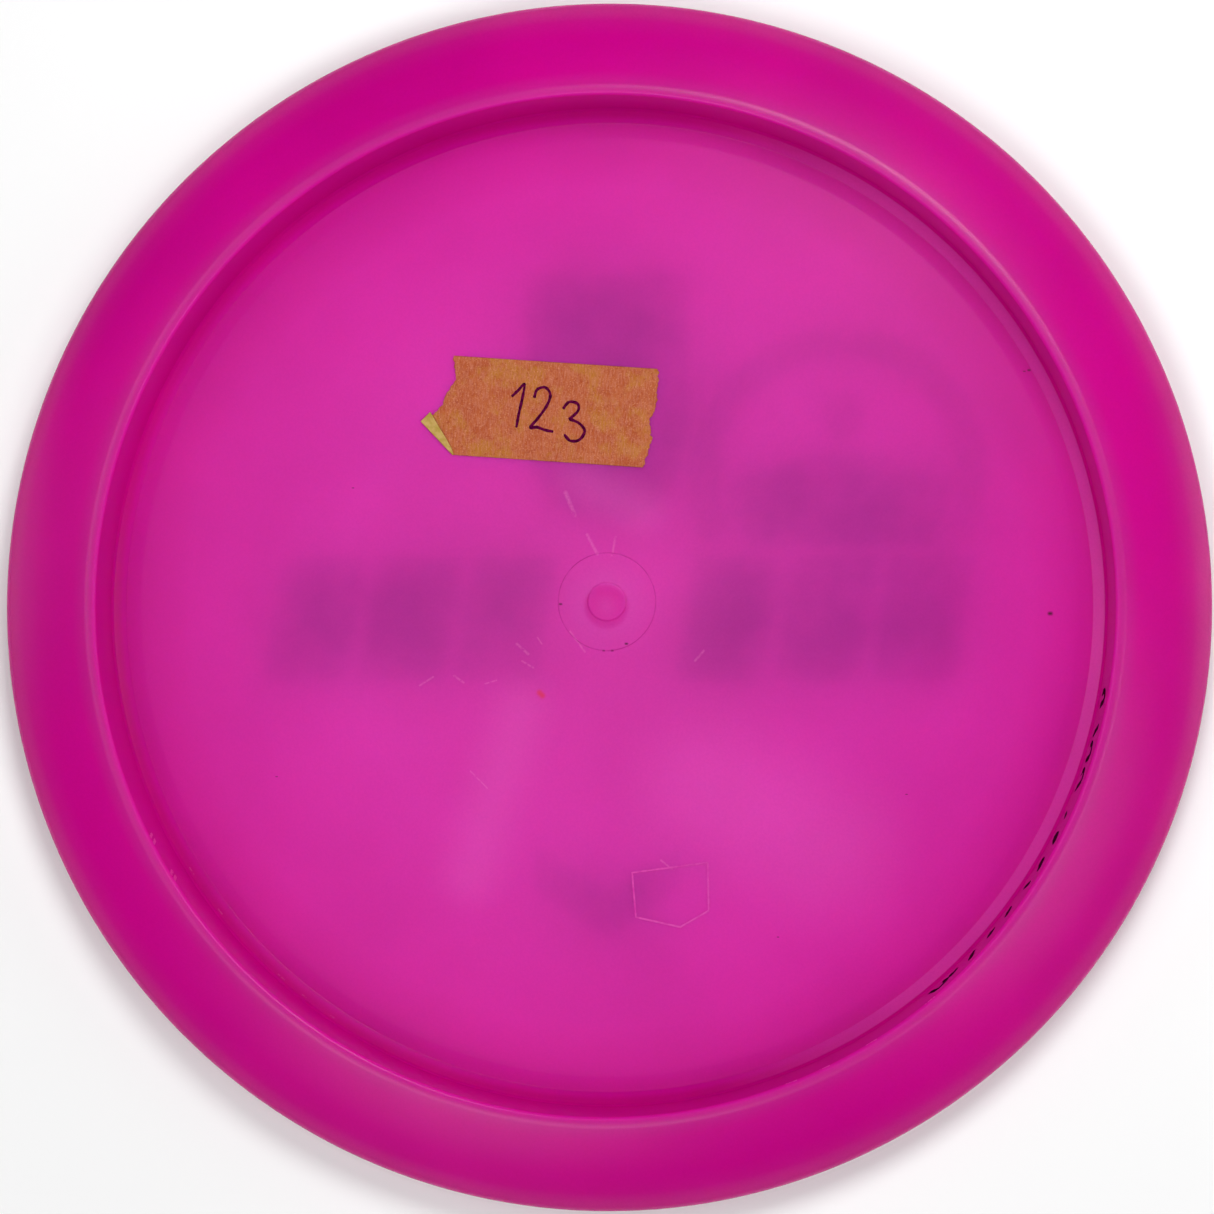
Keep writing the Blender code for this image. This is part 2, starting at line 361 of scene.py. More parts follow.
def dark_wear(tree, group, position):
    """Mask of the dark specks in the plate."""
    masks = []
    for (x, y), half_width in PLATE_SPECKS:
        masks.append(plate_streak(tree, group, position, ((x, y), (x + SPECK_LENGTH, y), half_width)))
    return strongest(tree, masks)


def bevel_sheen_mask(tree, position, from_axis):
    """Mask of a painted sheen on the bevel, stronger towards +X, where its face catches the light."""
    across = vector_calc(tree, "DOT_PRODUCT", position, (1.0, 0.0, 0.0), output=1)
    towards_x = calc(tree, "DIVIDE", across, from_axis)
    inner = soft_step(tree, from_axis, BEVEL_FOOT_RADIUS - 0.1 * MM, BEVEL_FOOT_RADIUS + 0.1 * MM)
    outer = soft_step(tree, from_axis, BEVEL_TOP_RADIUS + 0.05 * MM, BEVEL_TOP_RADIUS - 0.15 * MM)
    facet = calc(tree, "MULTIPLY", inner, outer)
    return calc(tree, "MULTIPLY", facet, soft_step(tree, towards_x, 0.15, 0.65, 0.0, 0.9))


def gate_ring_mask(tree, position, flat):
    """Mask of the thin, uneven witness line around the gate."""
    offset = vector_calc(tree, "SUBTRACT", flat, tuple(GATE_SHIFT))
    from_gate = vector_calc(tree, "LENGTH", offset, output=1)
    ring_gap = calc(tree, "ABSOLUTE", calc(tree, "SUBTRACT", from_gate, GATE_RING_RADIUS))
    witness = soft_step(tree, ring_gap, 0.13 * MM, 0.02 * MM)
    uneven = soft_step(tree, grain(tree, position, 3 * MM, 2.0), 0.35, 0.65, 0.15, 0.60)
    return calc(tree, "MULTIPLY", witness, uneven)


def clouded(tree, group, position, base):
    """The colour with the stamp's shadow, the plastic's soft clouds, its haze and a fine grain."""
    ghost = tree.nodes.new("ShaderNodeAttribute")
    ghost.attribute_name = "stamp_shadow"
    cloudy = soft_step(tree, grain(tree, position, 14 * MM, 2.0), 0.25, 0.7, 0.70, 1.0)
    shadow = calc(tree, "MULTIPLY", ghost.outputs["Fac"], cloudy)
    base = blend_colour(tree, shadow, base, (0.570, 0.600, 0.680, 1.0), "MULTIPLY")
    mottle = soft_step(tree, grain(tree, position, 34 * MM, 2.0), 0.3, 0.7)
    base = blend_colour(tree, mottle, base, (0.920, 0.850, 0.930, 1.0), "MULTIPLY")
    haze = strongest(tree, [plate_streak(tree, group, position, stroke) for stroke in PLATE_HAZE])
    base = blend_colour(tree, calc(tree, "MULTIPLY", haze, 0.16), base, (0.980, 0.160, 0.620, 1.0))
    fine = soft_step(tree, grain(tree, position, 0.45 * MM, 2.0, 0.7), 0.25, 0.75)
    return blend_colour(tree, fine, base, (0.950, 0.860, 0.955, 1.0), "MULTIPLY")


def plastic_normal(tree, position, from_axis):
    """Fine pits, but none on the polished wall, and turning marks on the lip and the wing."""
    turned = tree.nodes.new("ShaderNodeTexNoise")
    turned.noise_dimensions = "1D"
    turned.inputs["Scale"].default_value = 1 / (0.25 * MM)
    turned.inputs["Detail"].default_value = 2.0
    tree.links.new(from_axis, turned.inputs["W"])
    marks = calc(tree, "MULTIPLY", turned.outputs["Fac"],
                 soft_step(tree, from_axis, LIP_INNER_RADIUS + 0.6 * MM, LIP_OUTER_RADIUS))
    off_the_wall = strongest(tree, [
        soft_step(tree, from_axis, WALL_FOOT_RADIUS, WALL_FOOT_RADIUS - 0.6 * MM),
        soft_step(tree, from_axis, LIP_INNER_RADIUS, LIP_INNER_RADIUS + 0.6 * MM),
    ])
    pits = calc(tree, "MULTIPLY", grain(tree, position, 0.45 * MM, 3.0), off_the_wall)
    normal = bump(tree, pits, 0.10, 0.05 * MM)
    return bump(tree, marks, 0.05, 0.03 * MM, normal)


def plastic_material():
    """Translucent pink plastic: thin and bright in the plate, deep and saturated in the rim."""
    material, tree, shader = new_material("pink_plastic")
    position = object_position(tree)
    flat = vector_calc(tree, "MULTIPLY", position, (1.0, 1.0, 0.0))
    from_axis = vector_calc(tree, "LENGTH", flat, output=1)
    group = streak_group()
    pale = pale_wear_and_glints(tree, group, position)
    dark = dark_wear(tree, group, position)
    stain = plate_streak(tree, group, position, RED_STAIN)
    # The ramp carries painted shade in the crease at the wall's foot and a painted sheen on the nose.
    base = colour_ramp(tree, calc(tree, "DIVIDE", from_axis, RADIUS), PLASTIC_COLOURS_AND_PAINTED_LIGHT)
    # Painted sheen: the bevel is painted paler towards +X, where its face catches the light.
    bevel = bevel_sheen_mask(tree, position, from_axis)
    base = blend_colour(tree, bevel, base, (0.690, 0.038, 0.365, 1.0))
    base = clouded(tree, group, position, base)
    # Pale scuffs and spots, and painted glints on the bevel and where the wall meets the lip.
    base = blend_colour(tree, calc(tree, "MULTIPLY", pale, 0.22), base, (0.900, 0.280, 0.620, 1.0))
    base = blend_colour(tree, calc(tree, "MULTIPLY", dark, 0.95), base, (0.050, 0.001, 0.012, 1.0))
    base = blend_colour(tree, calc(tree, "MULTIPLY", stain, 0.80), base, (0.700, 0.030, 0.070, 1.0))
    witness = gate_ring_mask(tree, position, flat)
    base = blend_colour(tree, witness, base, (0.400, 0.006, 0.180, 1.0))
    tree.links.new(base, shader.inputs["Base Color"])
    cloud = calc(tree, "MULTIPLY", grain(tree, position, 9 * MM, 1.0), 0.04)
    rough = calc(tree, "ADD", calc(tree, "ADD", cloud, 0.24), calc(tree, "MULTIPLY", pale, 0.12))
    tree.links.new(rough, shader.inputs["Roughness"])
    tree.links.new(plastic_normal(tree, position, from_axis), shader.inputs["Normal"])
    shader.inputs["Specular IOR Level"].default_value = 0.16
    shader.inputs["Subsurface Weight"].default_value = 0.6
    shader.inputs["Subsurface Radius"].default_value = (1.0, 0.25, 0.6)
    shader.inputs["Subsurface Scale"].default_value = 7.0 * MM
    return material


def mark_highlight_material():
    """The same plastic on the thin raised outline, paler as a painted highlight, and with no depth of its
    own.
    """
    material, tree, shader = new_material("pink_plastic_edge")
    position = object_position(tree)
    worn = soft_step(tree, grain(tree, position, 1.5 * MM, 3.0), 0.35, 0.65)
    # Painted highlight: a paler pink on the outline stands in for the light its edges catch.
    colour = blend_colour(tree, worn, (0.620, 0.022, 0.345, 1.0), (0.700, 0.060, 0.420, 1.0))
    tree.links.new(colour, shader.inputs["Base Color"])
    rough = soft_step(tree, worn, 0.0, 1.0, 0.30, 0.40)
    tree.links.new(rough, shader.inputs["Roughness"])
    shader.inputs["Specular IOR Level"].default_value = 0.16
    return material


def paper_material():
    """Creped masking paper, mottled with the pink that shows through it."""
    material, tree, shader = new_material("masking_paper")
    position = object_position(tree)
    turned = tree.nodes.new("ShaderNodeVectorRotate")
    turned.rotation_type = "Z_AXIS"
    turned.inputs["Angle"].default_value = -TAPE_TURN
    tree.links.new(position, turned.inputs["Vector"])
    local = turned.outputs["Vector"]
    beside = vector_calc(tree, "ADD", local, (0.11, 0.07, 0.0))
    apart = vector_calc(tree, "ADD", local, (0.05, 0.13, 0.0))
    patches = soft_step(tree, grain(tree, local, 3.2 * MM, 3.0), 0.38, 0.62)
    yellow = soft_step(tree, grain(tree, beside, 4.5 * MM, 3.0), 0.48, 0.68)
    fibres = soft_step(tree, grain(tree, local, 1.0 * MM, 4.0, 0.65, (3.6, 0.6, 1.0)), 0.42, 0.62)
    flecks = soft_step(tree, grain(tree, local, 0.35 * MM, 3.0, 0.7), 0.52, 0.72)
    colour = blend_colour(tree, patches, (0.400, 0.080, 0.024, 1.0), (0.450, 0.108, 0.034, 1.0))
    colour = blend_colour(tree, calc(tree, "MULTIPLY", yellow, 0.75), colour, (0.440, 0.165, 0.020, 1.0))
    colour = blend_colour(tree, calc(tree, "MULTIPLY", fibres, 0.42), colour, (0.560, 0.200, 0.140, 1.0))
    colour = blend_colour(tree, calc(tree, "MULTIPLY", flecks, 0.68), colour, (0.270, 0.032, 0.012, 1.0))
    lint = soft_step(tree, grain(tree, apart, 0.22 * MM, 2.0), 0.55, 0.72)
    colour = blend_colour(tree, calc(tree, "MULTIPLY", lint, 0.50), colour, (0.700, 0.310, 0.180, 1.0))
    tree.links.new(colour, shader.inputs["Base Color"])
    shader.inputs["Roughness"].default_value = 0.85
    shader.inputs["Specular IOR Level"].default_value = 0.15
    crepe = grain(tree, local, 0.7 * MM, 4.0, 0.6, (2.2, 0.5, 1.0))
    tree.links.new(bump(tree, crepe, 0.5, 0.08 * MM), shader.inputs["Normal"])
    return material


def adhesive_material():
    """The back of the tape: a thin, dull yellow-green layer of adhesive."""
    material, tree, shader = new_material("tape_adhesive")
    position = object_position(tree)
    cloud = soft_step(tree, grain(tree, position, 1.1 * MM, 4.0), 0.35, 0.65)
    colour = blend_colour(tree, cloud, (0.400, 0.255, 0.020, 1.0), (0.520, 0.330, 0.080, 1.0))
    edge = soft_step(tree, grain(tree, position, 0.3 * MM, 2.0), 0.6, 0.8)
    colour = blend_colour(tree, calc(tree, "MULTIPLY", edge, 0.4), colour, (0.620, 0.400, 0.210, 1.0))
    tree.links.new(colour, shader.inputs["Base Color"])
    shader.inputs["Roughness"].default_value = 0.55
    tree.links.new(bump(tree, cloud, 0.3, 0.05 * MM), shader.inputs["Normal"])
    return material


def ink_material(name, thin, thick):
    """Pen ink that lies thinner and thicker along a stroke."""
    material, tree, shader = new_material(name)
    position = object_position(tree)
    density = soft_step(tree, grain(tree, position, 0.6 * MM, 3.0), 0.35, 0.65)
    colour = blend_colour(tree, density, (*thin, 1.0), (*thick, 1.0))
    tree.links.new(colour, shader.inputs["Base Color"])
    rough = soft_step(tree, density, 0.0, 1.0, 0.7, 0.5)
    tree.links.new(rough, shader.inputs["Roughness"])
    shader.inputs["Specular IOR Level"].default_value = 0.0
    tree.links.new(bump(tree, grain(tree, position, 0.15 * MM), 0.2, 0.02 * MM), shader.inputs["Normal"])
    return material


def foil_material():
    """Blue-violet metallic foil with a slightly pitted surface and rubbed patches."""
    material, tree, shader = new_material("stamp_foil")
    position = object_position(tree)
    rubbed = soft_step(tree, grain(tree, position, 2.5 * MM, 5.0, 0.7), 0.60, 0.74)
    tint = soft_step(tree, grain(tree, position, 14 * MM, 2.0), 0.3, 0.7)
    colour = blend_colour(tree, tint, (0.090, 0.080, 0.420, 1.0), (0.200, 0.110, 0.480, 1.0))
    colour = blend_colour(tree, rubbed, colour, (0.520, 0.060, 0.380, 1.0))
    tree.links.new(colour, shader.inputs["Base Color"])
    shader.inputs["Metallic"].default_value = 1.0
    rough = soft_step(tree, rubbed, 0.0, 1.0, 0.22, 0.5)
    tree.links.new(rough, shader.inputs["Roughness"])
    tree.links.new(bump(tree, grain(tree, position, 0.4 * MM), 0.25, 0.03 * MM), shader.inputs["Normal"])
    return material


def floor_material():
    """A plain, pale, slightly uneven studio floor."""
    material, tree, shader = new_material("studio_floor")
    position = object_position(tree)
    tone = soft_step(tree, grain(tree, position, 300 * MM, 2.0), 0.3, 0.7)
    colour = blend_colour(tree, tone, (0.97, 0.97, 0.97, 1.0), (0.95, 0.95, 0.95, 1.0))
    tree.links.new(colour, shader.inputs["Base Color"])
    shader.inputs["Roughness"].default_value = 0.8
    return material


# ---------------------------------------------------------------- shapes

def arc(centre, radius, start, end, segments):
    """Points along an arc in the (radius, height) plane; the angles are in radians."""
    points = []
    for step in range(segments + 1):
        angle = start + (end - start) * step / segments
        points.append((centre[0] + radius * math.cos(angle), centre[1] + radius * math.sin(angle)))
    return points


def fillet(before, corner, after, radius, segments=3):
    """A corner of a profile, replaced by a small arc that touches both of its sides."""
    corner = Vector(corner)
    to_before = (Vector(before) - corner).normalized()
    to_after = (Vector(after) - corner).normalized()
    half = to_before.angle(to_after) / 2
    reach = radius / math.tan(half)
    centre = corner + (to_before + to_after).normalized() * (radius / math.sin(half))
    first = (corner + to_before * reach - centre).normalized()
    last = (corner + to_after * reach - centre).normalized()
    points = []
    for step in range(segments + 1):
        points.append(tuple(centre + first.slerp(last, step / segments) * radius))
    return points


def with_fillets(corners):
    """A profile from (radius, height, rounding) corners."""
    points = [corners[0][:2]]
    for index in range(1, len(corners) - 1):
        corner = corners[index]
        if corner[2] > 0:
            points += fillet(corners[index - 1][:2], corner[:2], corners[index + 1][:2], corner[2])
        else:
            points.append(corner[:2])
    return points + [corners[-1][:2]]


def curve_between(start, start_normal, end, end_normal, steps):
    """Points of a smooth curve between two places whose surface normals are given, ends left out."""
    start, end = Vector(start), Vector(end)
    leave = Vector((math.sin(start_normal), -math.cos(start_normal)))
    arrive = Vector((math.sin(end_normal), -math.cos(end_normal)))
    gap = end - start
    length = (gap.x * arrive.y - gap.y * arrive.x) / (leave.x * arrive.y - leave.y * arrive.x)
    corner = start + leave * length
    points = []
    for step in range(1, steps):
        share = step / steps
        points.append(tuple(start.lerp(corner, share).lerp(corner.lerp(end, share), share)))
    return points


def gate_corners():
    """The gate's nub and the fine groove of its witness line, from the axis out."""
    nub_top = PLATE_TOP + GATE_NUB_HEIGHT
    return [
        (0.0, nub_top, 0.0),
        (1.2 * MM, nub_top + 0.02 * MM, 0.0),
        (GATE_NUB_RADIUS - 0.30 * MM, nub_top, 0.14 * MM),
        (GATE_NUB_RADIUS, PLATE_TOP - 0.01 * MM, 0.10 * MM),
        (GATE_NUB_RADIUS + 1.8 * MM, PLATE_TOP, 0.0),
        (GATE_RING_RADIUS - 0.12 * MM, PLATE_TOP, 0.03 * MM),
        (GATE_RING_RADIUS, PLATE_TOP - 0.07 * MM, 0.02 * MM),
        (GATE_RING_RADIUS + 0.12 * MM, PLATE_TOP, 0.03 * MM),
    ]


def wall_corners():
    """The inner wall from its cove to the lip, in even steps."""
    foot = BEVEL_TOP + COVE_HEIGHT
    top = HEIGHT - LIP_INNER_ROUND
    corners = [(WALL_FOOT_RADIUS, foot, 0.20 * MM)]
    for step in range(1, WALL_STEPS + 1):
        share = step / WALL_STEPS
        radius = WALL_FOOT_RADIUS + (LIP_INNER_RADIUS - WALL_FOOT_RADIUS) * share
        corners.append((radius, foot + (top - foot) * share, 0.0))
    return corners


def dish_profile():
    """The open side from the axis over the plate and the bevel, and up the wall to the lip."""
    corners = gate_corners()
    ring = GATE_RING_RADIUS + PLATE_RING_SPACING
    while ring < SHALLOW_BEVEL_RADIUS - PLATE_RING_SPACING:
        corners.append((ring, PLATE_TOP, 0.0))
        ring += PLATE_RING_SPACING
    corners += [
        (SHALLOW_BEVEL_RADIUS, PLATE_TOP, 0.8 * MM),
        (BEVEL_FOOT_RADIUS, PLATE_TOP + SHALLOW_BEVEL_RISE, 0.15 * MM),
        (BEVEL_TOP_RADIUS, BEVEL_TOP, 0.10 * MM),
    ]
    corners += wall_corners()
    lip_centre = (LIP_INNER_RADIUS + LIP_INNER_ROUND, HEIGHT - LIP_INNER_ROUND)
    return with_fillets(corners) + arc(lip_centre, LIP_INNER_ROUND, math.pi, math.pi / 2, 8)[1:]


def wing_profile():
    """From the lip's flat out over the wing, round the nose and along the shoulder."""
    lip_centre = (LIP_FLAT_END, HEIGHT - LIP_OUTER_ROUND)
    across = NOSE_CENTRE[0] - lip_centre[0]
    down = NOSE_CENTRE[1] - lip_centre[1]
    straight = math.atan2(down, across) + math.acos(
        (LIP_OUTER_ROUND - NOSE_RADIUS) / math.hypot(across, down)
    )
    reach = NOSE_CENTRE[0] - REST_OUTER_RADIUS
    shoulder_radius = (reach**2 + NOSE_CENTRE[1] ** 2 - NOSE_RADIUS**2) / (
        2 * (NOSE_CENTRE[1] - NOSE_RADIUS)
    )
    nose_end = math.atan2(NOSE_CENTRE[1] - shoulder_radius, reach)
    lip = arc(lip_centre, LIP_OUTER_ROUND, math.pi / 2, straight + WING_START_TURN, 8)
    nose = arc(NOSE_CENTRE, NOSE_RADIUS, straight - WING_END_TURN, nose_end, 16)
    wing = curve_between(lip[-1], straight + WING_START_TURN, nose[0], straight - WING_END_TURN, 24)
    shoulder_centre = (REST_OUTER_RADIUS, shoulder_radius)
    shoulder = arc(shoulder_centre, shoulder_radius, nose_end, -math.pi / 2, 20)
    return lip + wing + nose + shoulder[1:]


def recess_profile():
    """From the flat resting ring over a soft edge into the plate's recess, to the axis."""
    points = [(REST_INNER_RADIUS, 0.0)]
    for step in range(1, 7):
        share = step / 6
        rise = (1 - math.cos(math.pi * share)) / 2
        points.append((REST_INNER_RADIUS - RECESS_EDGE_WIDTH * share, PLATE_RECESS * rise))
    for radius in (60, 45, 30, 15, 5):
        points.append((radius * MM, PLATE_RECESS))
    return points + [(0.0, PLATE_RECESS)]


def turned_mesh(name, profile):
    """One closed mesh from a (radius, height) profile that starts and ends on the axis."""
    vertices = [(0.0, 0.0, profile[0][1])]
    for radius, height in profile[1:-1]:
        for step in range(TURN_STEPS):
            angle = 2 * math.pi * step / TURN_STEPS
            vertices.append((radius * math.cos(angle), radius * math.sin(angle), height))
    vertices.append((0.0, 0.0, profile[-1][1]))
    rings = len(profile) - 2
    last = len(vertices) - 1
    faces = []
    for step in range(TURN_STEPS):
        following = (step + 1) % TURN_STEPS
        faces.append((0, 1 + step, 1 + following))
        for ring in range(rings - 1):
            here = 1 + ring * TURN_STEPS
            there = here + TURN_STEPS
            faces.append((here + step, there + step, there + following, here + following))
        foot = 1 + (rings - 1) * TURN_STEPS
        faces.append((foot + step, last, foot + following))
    mesh = bpy.data.meshes.new(name)
    mesh.from_pydata(vertices, [], faces)
    mesh.update()
    return mesh


def shift_gate(mesh):
    """Move the gate mark a little off the axis, as the mould has it, and fade the move out."""
    fade = GATE_SHIFT_NONE - GATE_SHIFT_FULL
    for vertex in mesh.vertices:
        distance = math.hypot(vertex.co.x, vertex.co.y)
        if vertex.co.z > INSIDE_HEIGHT and distance < GATE_SHIFT_NONE:
            share = min(1.0, (GATE_SHIFT_NONE - distance) / fade)
            vertex.co += GATE_SHIFT * share


def foil_surface():
    """A search tree of all the foil patches, and their height."""
    corners, faces = [], []
    height = 0.0
    for name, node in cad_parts.items():
        if name.startswith("foil_"):
            start = len(corners)
            corners += [vertex.co.copy() for vertex in node.data.vertices]
            faces += [[start + index for index in polygon.vertices] for polygon in node.data.polygons]
            height = node.data.vertices[0].co.z
    return BVHTree.FromPolygons(corners, faces), height


def blur_offsets():
    """Places around a point on a sunflower spiral, close together in the middle."""
    offsets = []
    for index in range(SHADOW_SAMPLES):
        reach = SHADOW_BLUR * ((index + 0.5) / SHADOW_SAMPLES) ** SHADOW_CORE
        turn = index * math.pi * (3 - math.sqrt(5))
        offsets.append((reach * math.cos(turn), reach * math.sin(turn)))
    return offsets


def stamp_shadow(mesh):
    """Store how much foil lies behind each point of the plate, blurred by the plastic."""
    foil, foil_height = foil_surface()
    offsets = blur_offsets()
    values = [0.0] * len(mesh.vertices)
    for vertex in mesh.vertices:
        x, y, z = vertex.co
        if z < INSIDE_HEIGHT or math.hypot(x, y) > BEVEL_FOOT_RADIUS:
            continue
        if foil.find_nearest((x, y, foil_height), SHADOW_BLUR + FOIL_REACH)[0] is None:
            continue
        hits = 0
        for across, up in offsets:
            found = foil.find_nearest((x + across, y + up, foil_height), FOIL_REACH)
            hits += found[0] is not None
        values[vertex.index] = hits / SHADOW_SAMPLES
    attribute = mesh.attributes.new("stamp_shadow", "FLOAT", "POINT")
    attribute.data.foreach_set("value", values)


def disc_moulding(material):
    """The moulded disc, turned finely, with its gate mark and the shadow of the stamp."""
    profile = dish_profile() + wing_profile() + recess_profile()
    mesh = turned_mesh("disc_moulding", profile)
    shift_gate(mesh)
    stamp_shadow(mesh)
    mesh.shade_smooth()
    mesh.set_sharp_from_angle(angle=SHARP_ANGLE)
    piece = add_piece("disc_moulding", mesh, [material])
    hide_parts("disc_body")


def add_piece(name, mesh, materials):
    """Link a mesh as a piece that rides on the disc."""
    for material in materials:
        mesh.materials.append(material)
    piece = bpy.data.objects.new(name, mesh)
    bpy.context.scene.collection.objects.link(piece)
    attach(piece, "root")
    return piece


def spline(points, spacing):
    """A smooth path through the points, with a sample about every spacing."""
    path = []
    ends = [points[0]] + list(points) + [points[-1]]
    for index in range(len(points) - 1):
        a, b, c, d = (Vector(ends[index + k]) for k in range(4))
        steps = max(2, round((c - b).length / spacing))
        for step in range(steps):
            t = step / steps
            path.append(0.5 * (2 * b + (c - a) * t + (2 * a - 5 * b + 4 * c - d) * t**2
                               + (3 * b - a - 3 * c + d) * t**3))
    return path + [Vector(points[-1])]


def stroke_strips(paths, width, place):
    """Thin closed strips along flat paths; place turns (x, y, lift) into a point."""
    vertices, faces = [], []
    thickness = 0.03 * MM
    for number, path in enumerate(paths):
        start = len(vertices)
        count = len(path)
        for index, point in enumerate(path):
            ahead = path[min(index + 1, count - 1)] - path[max(index - 1, 0)]
            side = Vector((-ahead.y, ahead.x)).normalized()
            wobble = noise.noise(Vector((index * 0.21, number * 7.3, 0.5)))
            end_fade = min(1.0, 0.45 + 0.35 * min(index, count - 1 - index))
            half = width / 2 * (1 + 0.28 * wobble) * end_fade
            for edge, lift in ((1, 0.0), (1, thickness), (-1, thickness), (-1, 0.0)):
                spot = point + side * (half * edge)
                vertices.append(place(spot.x, spot.y, lift))
        for index in range(count - 1):
            here = start + 4 * index
            for corner in range(4):
                after = (corner + 1) % 4
                faces.append((here + corner, here + after, here + 4 + after, here + 4 + corner))
        faces.append((start + 3, start + 2, start + 1, start))
        end = start + 4 * (count - 1)
        faces.append((end, end + 1, end + 2, end + 3))
    mesh = bpy.data.meshes.new("strokes")
    mesh.from_pydata(vertices, [], faces)
    mesh.update()
    return mesh


def crepe_height(u, v):
    """Height of the paper's crepe at a place on the tape."""
    ridge = noise.noise(Vector((u / (0.55 * MM), v / (2.6 * MM), 3.1)))
    fine = noise.noise(Vector((u / (0.30 * MM), v / (0.9 * MM), 8.4)))
    return 0.022 * MM * ridge + 0.010 * MM * fine


def along_edge(points, v):
    """The edge's place along the tape at a height across it, by straight pieces."""
    for (u_low, v_low), (u_high, v_high) in zip(points, points[1:]):
        if v <= v_high:
            share = (v - v_low) / (v_high - v_low)
            return u_low + (u_high - u_low) * max(0.0, share)
    return points[-1][0]


# The tape's torn ends, as (along, across) points in millimetres, from its lower edge up.
LEFT_TEAR = [(-16.9, -8.75), (-23.0, -3.15), (-20.8, -1.8), (-20.0, -0.8), (-19.4, 0.3), (-18.9, 1.7),
             (-18.8, 2.1), (-18.1, 3.1), (-17.4, 4.5), (-17.7, 7.1), (-18.1, 8.75)]
RIGHT_TEAR = [(16.8, -8.75), (17.1, -7.4), (17.4, -6.5), (17.6, -5.0), (17.9, -3.4), (17.2, -0.5),
              (17.6, 0.1), (18.2, 2.4), (18.3, 5.9), (18.1, 8.75)]
FOLD_START = Vector(LEFT_TEAR[1]) * MM
FOLD_END = Vector(LEFT_TEAR[0]) * MM
FOLD_WIDTH = 2.25 * MM
FOLD_BEND = 0.13 * MM                   # radius of the bend along the fold

# How ragged the tears are, as (depth, size of a tooth, place in the noise).
TEAR_TEETH = [(0.30 * MM, 0.6 * MM, 1.7), (0.14 * MM, 0.25 * MM, 5.7)]

# Columns and rows of the meshes of the strip and of its folded corner.
STRIP_GRID = (190, 92)
CORNER_GRID = (26, 60)
BEND_COLUMNS = 8


def tape_place(u, v, height):
    """From a place on the tape to the disc's frame."""
    spot = Matrix.Rotation(TAPE_TURN, 3, "Z") @ Vector((u, v, 0.0)) + TAPE_CENTRE
    return (spot.x, spot.y, height)


def grid_faces(columns, rows, start=0):
    """Quads of a grid stored row by row."""
    faces = []
    for row in range(rows - 1):
        for column in range(columns - 1):
            corner = start + row * columns + column
            faces.append((corner, corner + 1, corner + columns + 1, corner + columns))
    return faces


def torn_strip():
    """Vertices of the strip between its two torn ends, row by row from its lower edge."""
    columns, rows = STRIP_GRID
    left = [(u * MM, v * MM) for u, v in LEFT_TEAR]
    right = [(u * MM, v * MM) for u, v in RIGHT_TEAR]
    vertices = []
    for row in range(rows):
        v = -TAPE_HALF_WIDTH + 2 * TAPE_HALF_WIDTH * row / (rows - 1)
        ragged = 0.0
        for depth, size, place in TEAR_TEETH:
            ragged += depth * noise.noise(Vector((v / size, place, 0.0)))
        on_fold = v < FOLD_START.y
        start = along_edge(left, v) + (0.0 if on_fold else ragged)
        end = along_edge(right, v) - ragged * 1.2
        on_edge = row in (0, rows - 1)
        for column in range(columns):
            u = start + (end - start) * column / (columns - 1)
            wave = 0.02 * MM * noise.noise(Vector((u / (2.0 * MM), row, 0.0))) if on_edge else 0.0
            height = TAPE_REST + TAPE_THICKNESS + crepe_height(u, v)
            vertices.append(tape_place(u, v + wave, height))
    return vertices


def fold_section(width):
    """One section of the folded corner, as (out, lift): round the bend, then back over the tape."""
    columns = CORNER_GRID[0]
    section = []
    for column in range(columns):
        if column < BEND_COLUMNS:
            angle = math.pi * (column / (BEND_COLUMNS - 1))
            section.append((-FOLD_BEND * math.sin(angle), FOLD_BEND * (1 - math.cos(angle))))
        else:
            share = (column - BEND_COLUMNS + 1) / (columns - BEND_COLUMNS)
            out = width * share
            lift = 2 * FOLD_BEND + 0.30 * MM * (out / (2 * MM)) ** 2 + 0.05 * MM
            section.append((out, lift - 0.05 * MM * (1 - share)))
    return section


def folded_corner():
    """Vertices of the corner that is folded back over the strip, narrowing along the fold."""
    rows = CORNER_GRID[1]
    along = FOLD_END - FOLD_START
    inward = Vector((-along.y, along.x)).normalized()
    if inward.x < 0:
        inward = -inward
    vertices = []
    for row in range(rows):
        share = row / (rows - 1)
        width = FOLD_WIDTH * (1 - share) ** 0.55 * (1 - 0.25 * share)
        width += 0.06 * MM * noise.noise(Vector((share * 40, 2.2, 0.0))) * (1 - share)
        for out, lift in fold_section(max(width, 0.05 * MM)):
            spot = FOLD_START + along * share + inward * out
            vertices.append(tape_place(spot.x, spot.y, TAPE_REST + TAPE_THICKNESS + lift))
    return vertices


def tape_strip(paper, adhesive):
    """The torn strip, stuck flat, with its lower left corner folded back over it."""
    vertices = torn_strip()
    corner_start = len(vertices)
    vertices += folded_corner()
    strip = grid_faces(*STRIP_GRID)
    corner = [tuple(reversed(face)) for face in grid_faces(*CORNER_GRID, corner_start)]
    mesh = bpy.data.meshes.new("tape_strip")
    mesh.from_pydata(vertices, [], strip + corner)
    mesh.update()
    for polygon in mesh.polygons:
        polygon.material_index = 0 if polygon.index < len(strip) else 1
    piece = add_piece("tape_strip", mesh, [paper, adhesive])
    solid = piece.modifiers.new("thickness", "SOLIDIFY")
    solid.thickness = TAPE_THICKNESS * 0.9
    solid.offset = -1.0
    mesh.shade_smooth()
    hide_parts("tape_label")


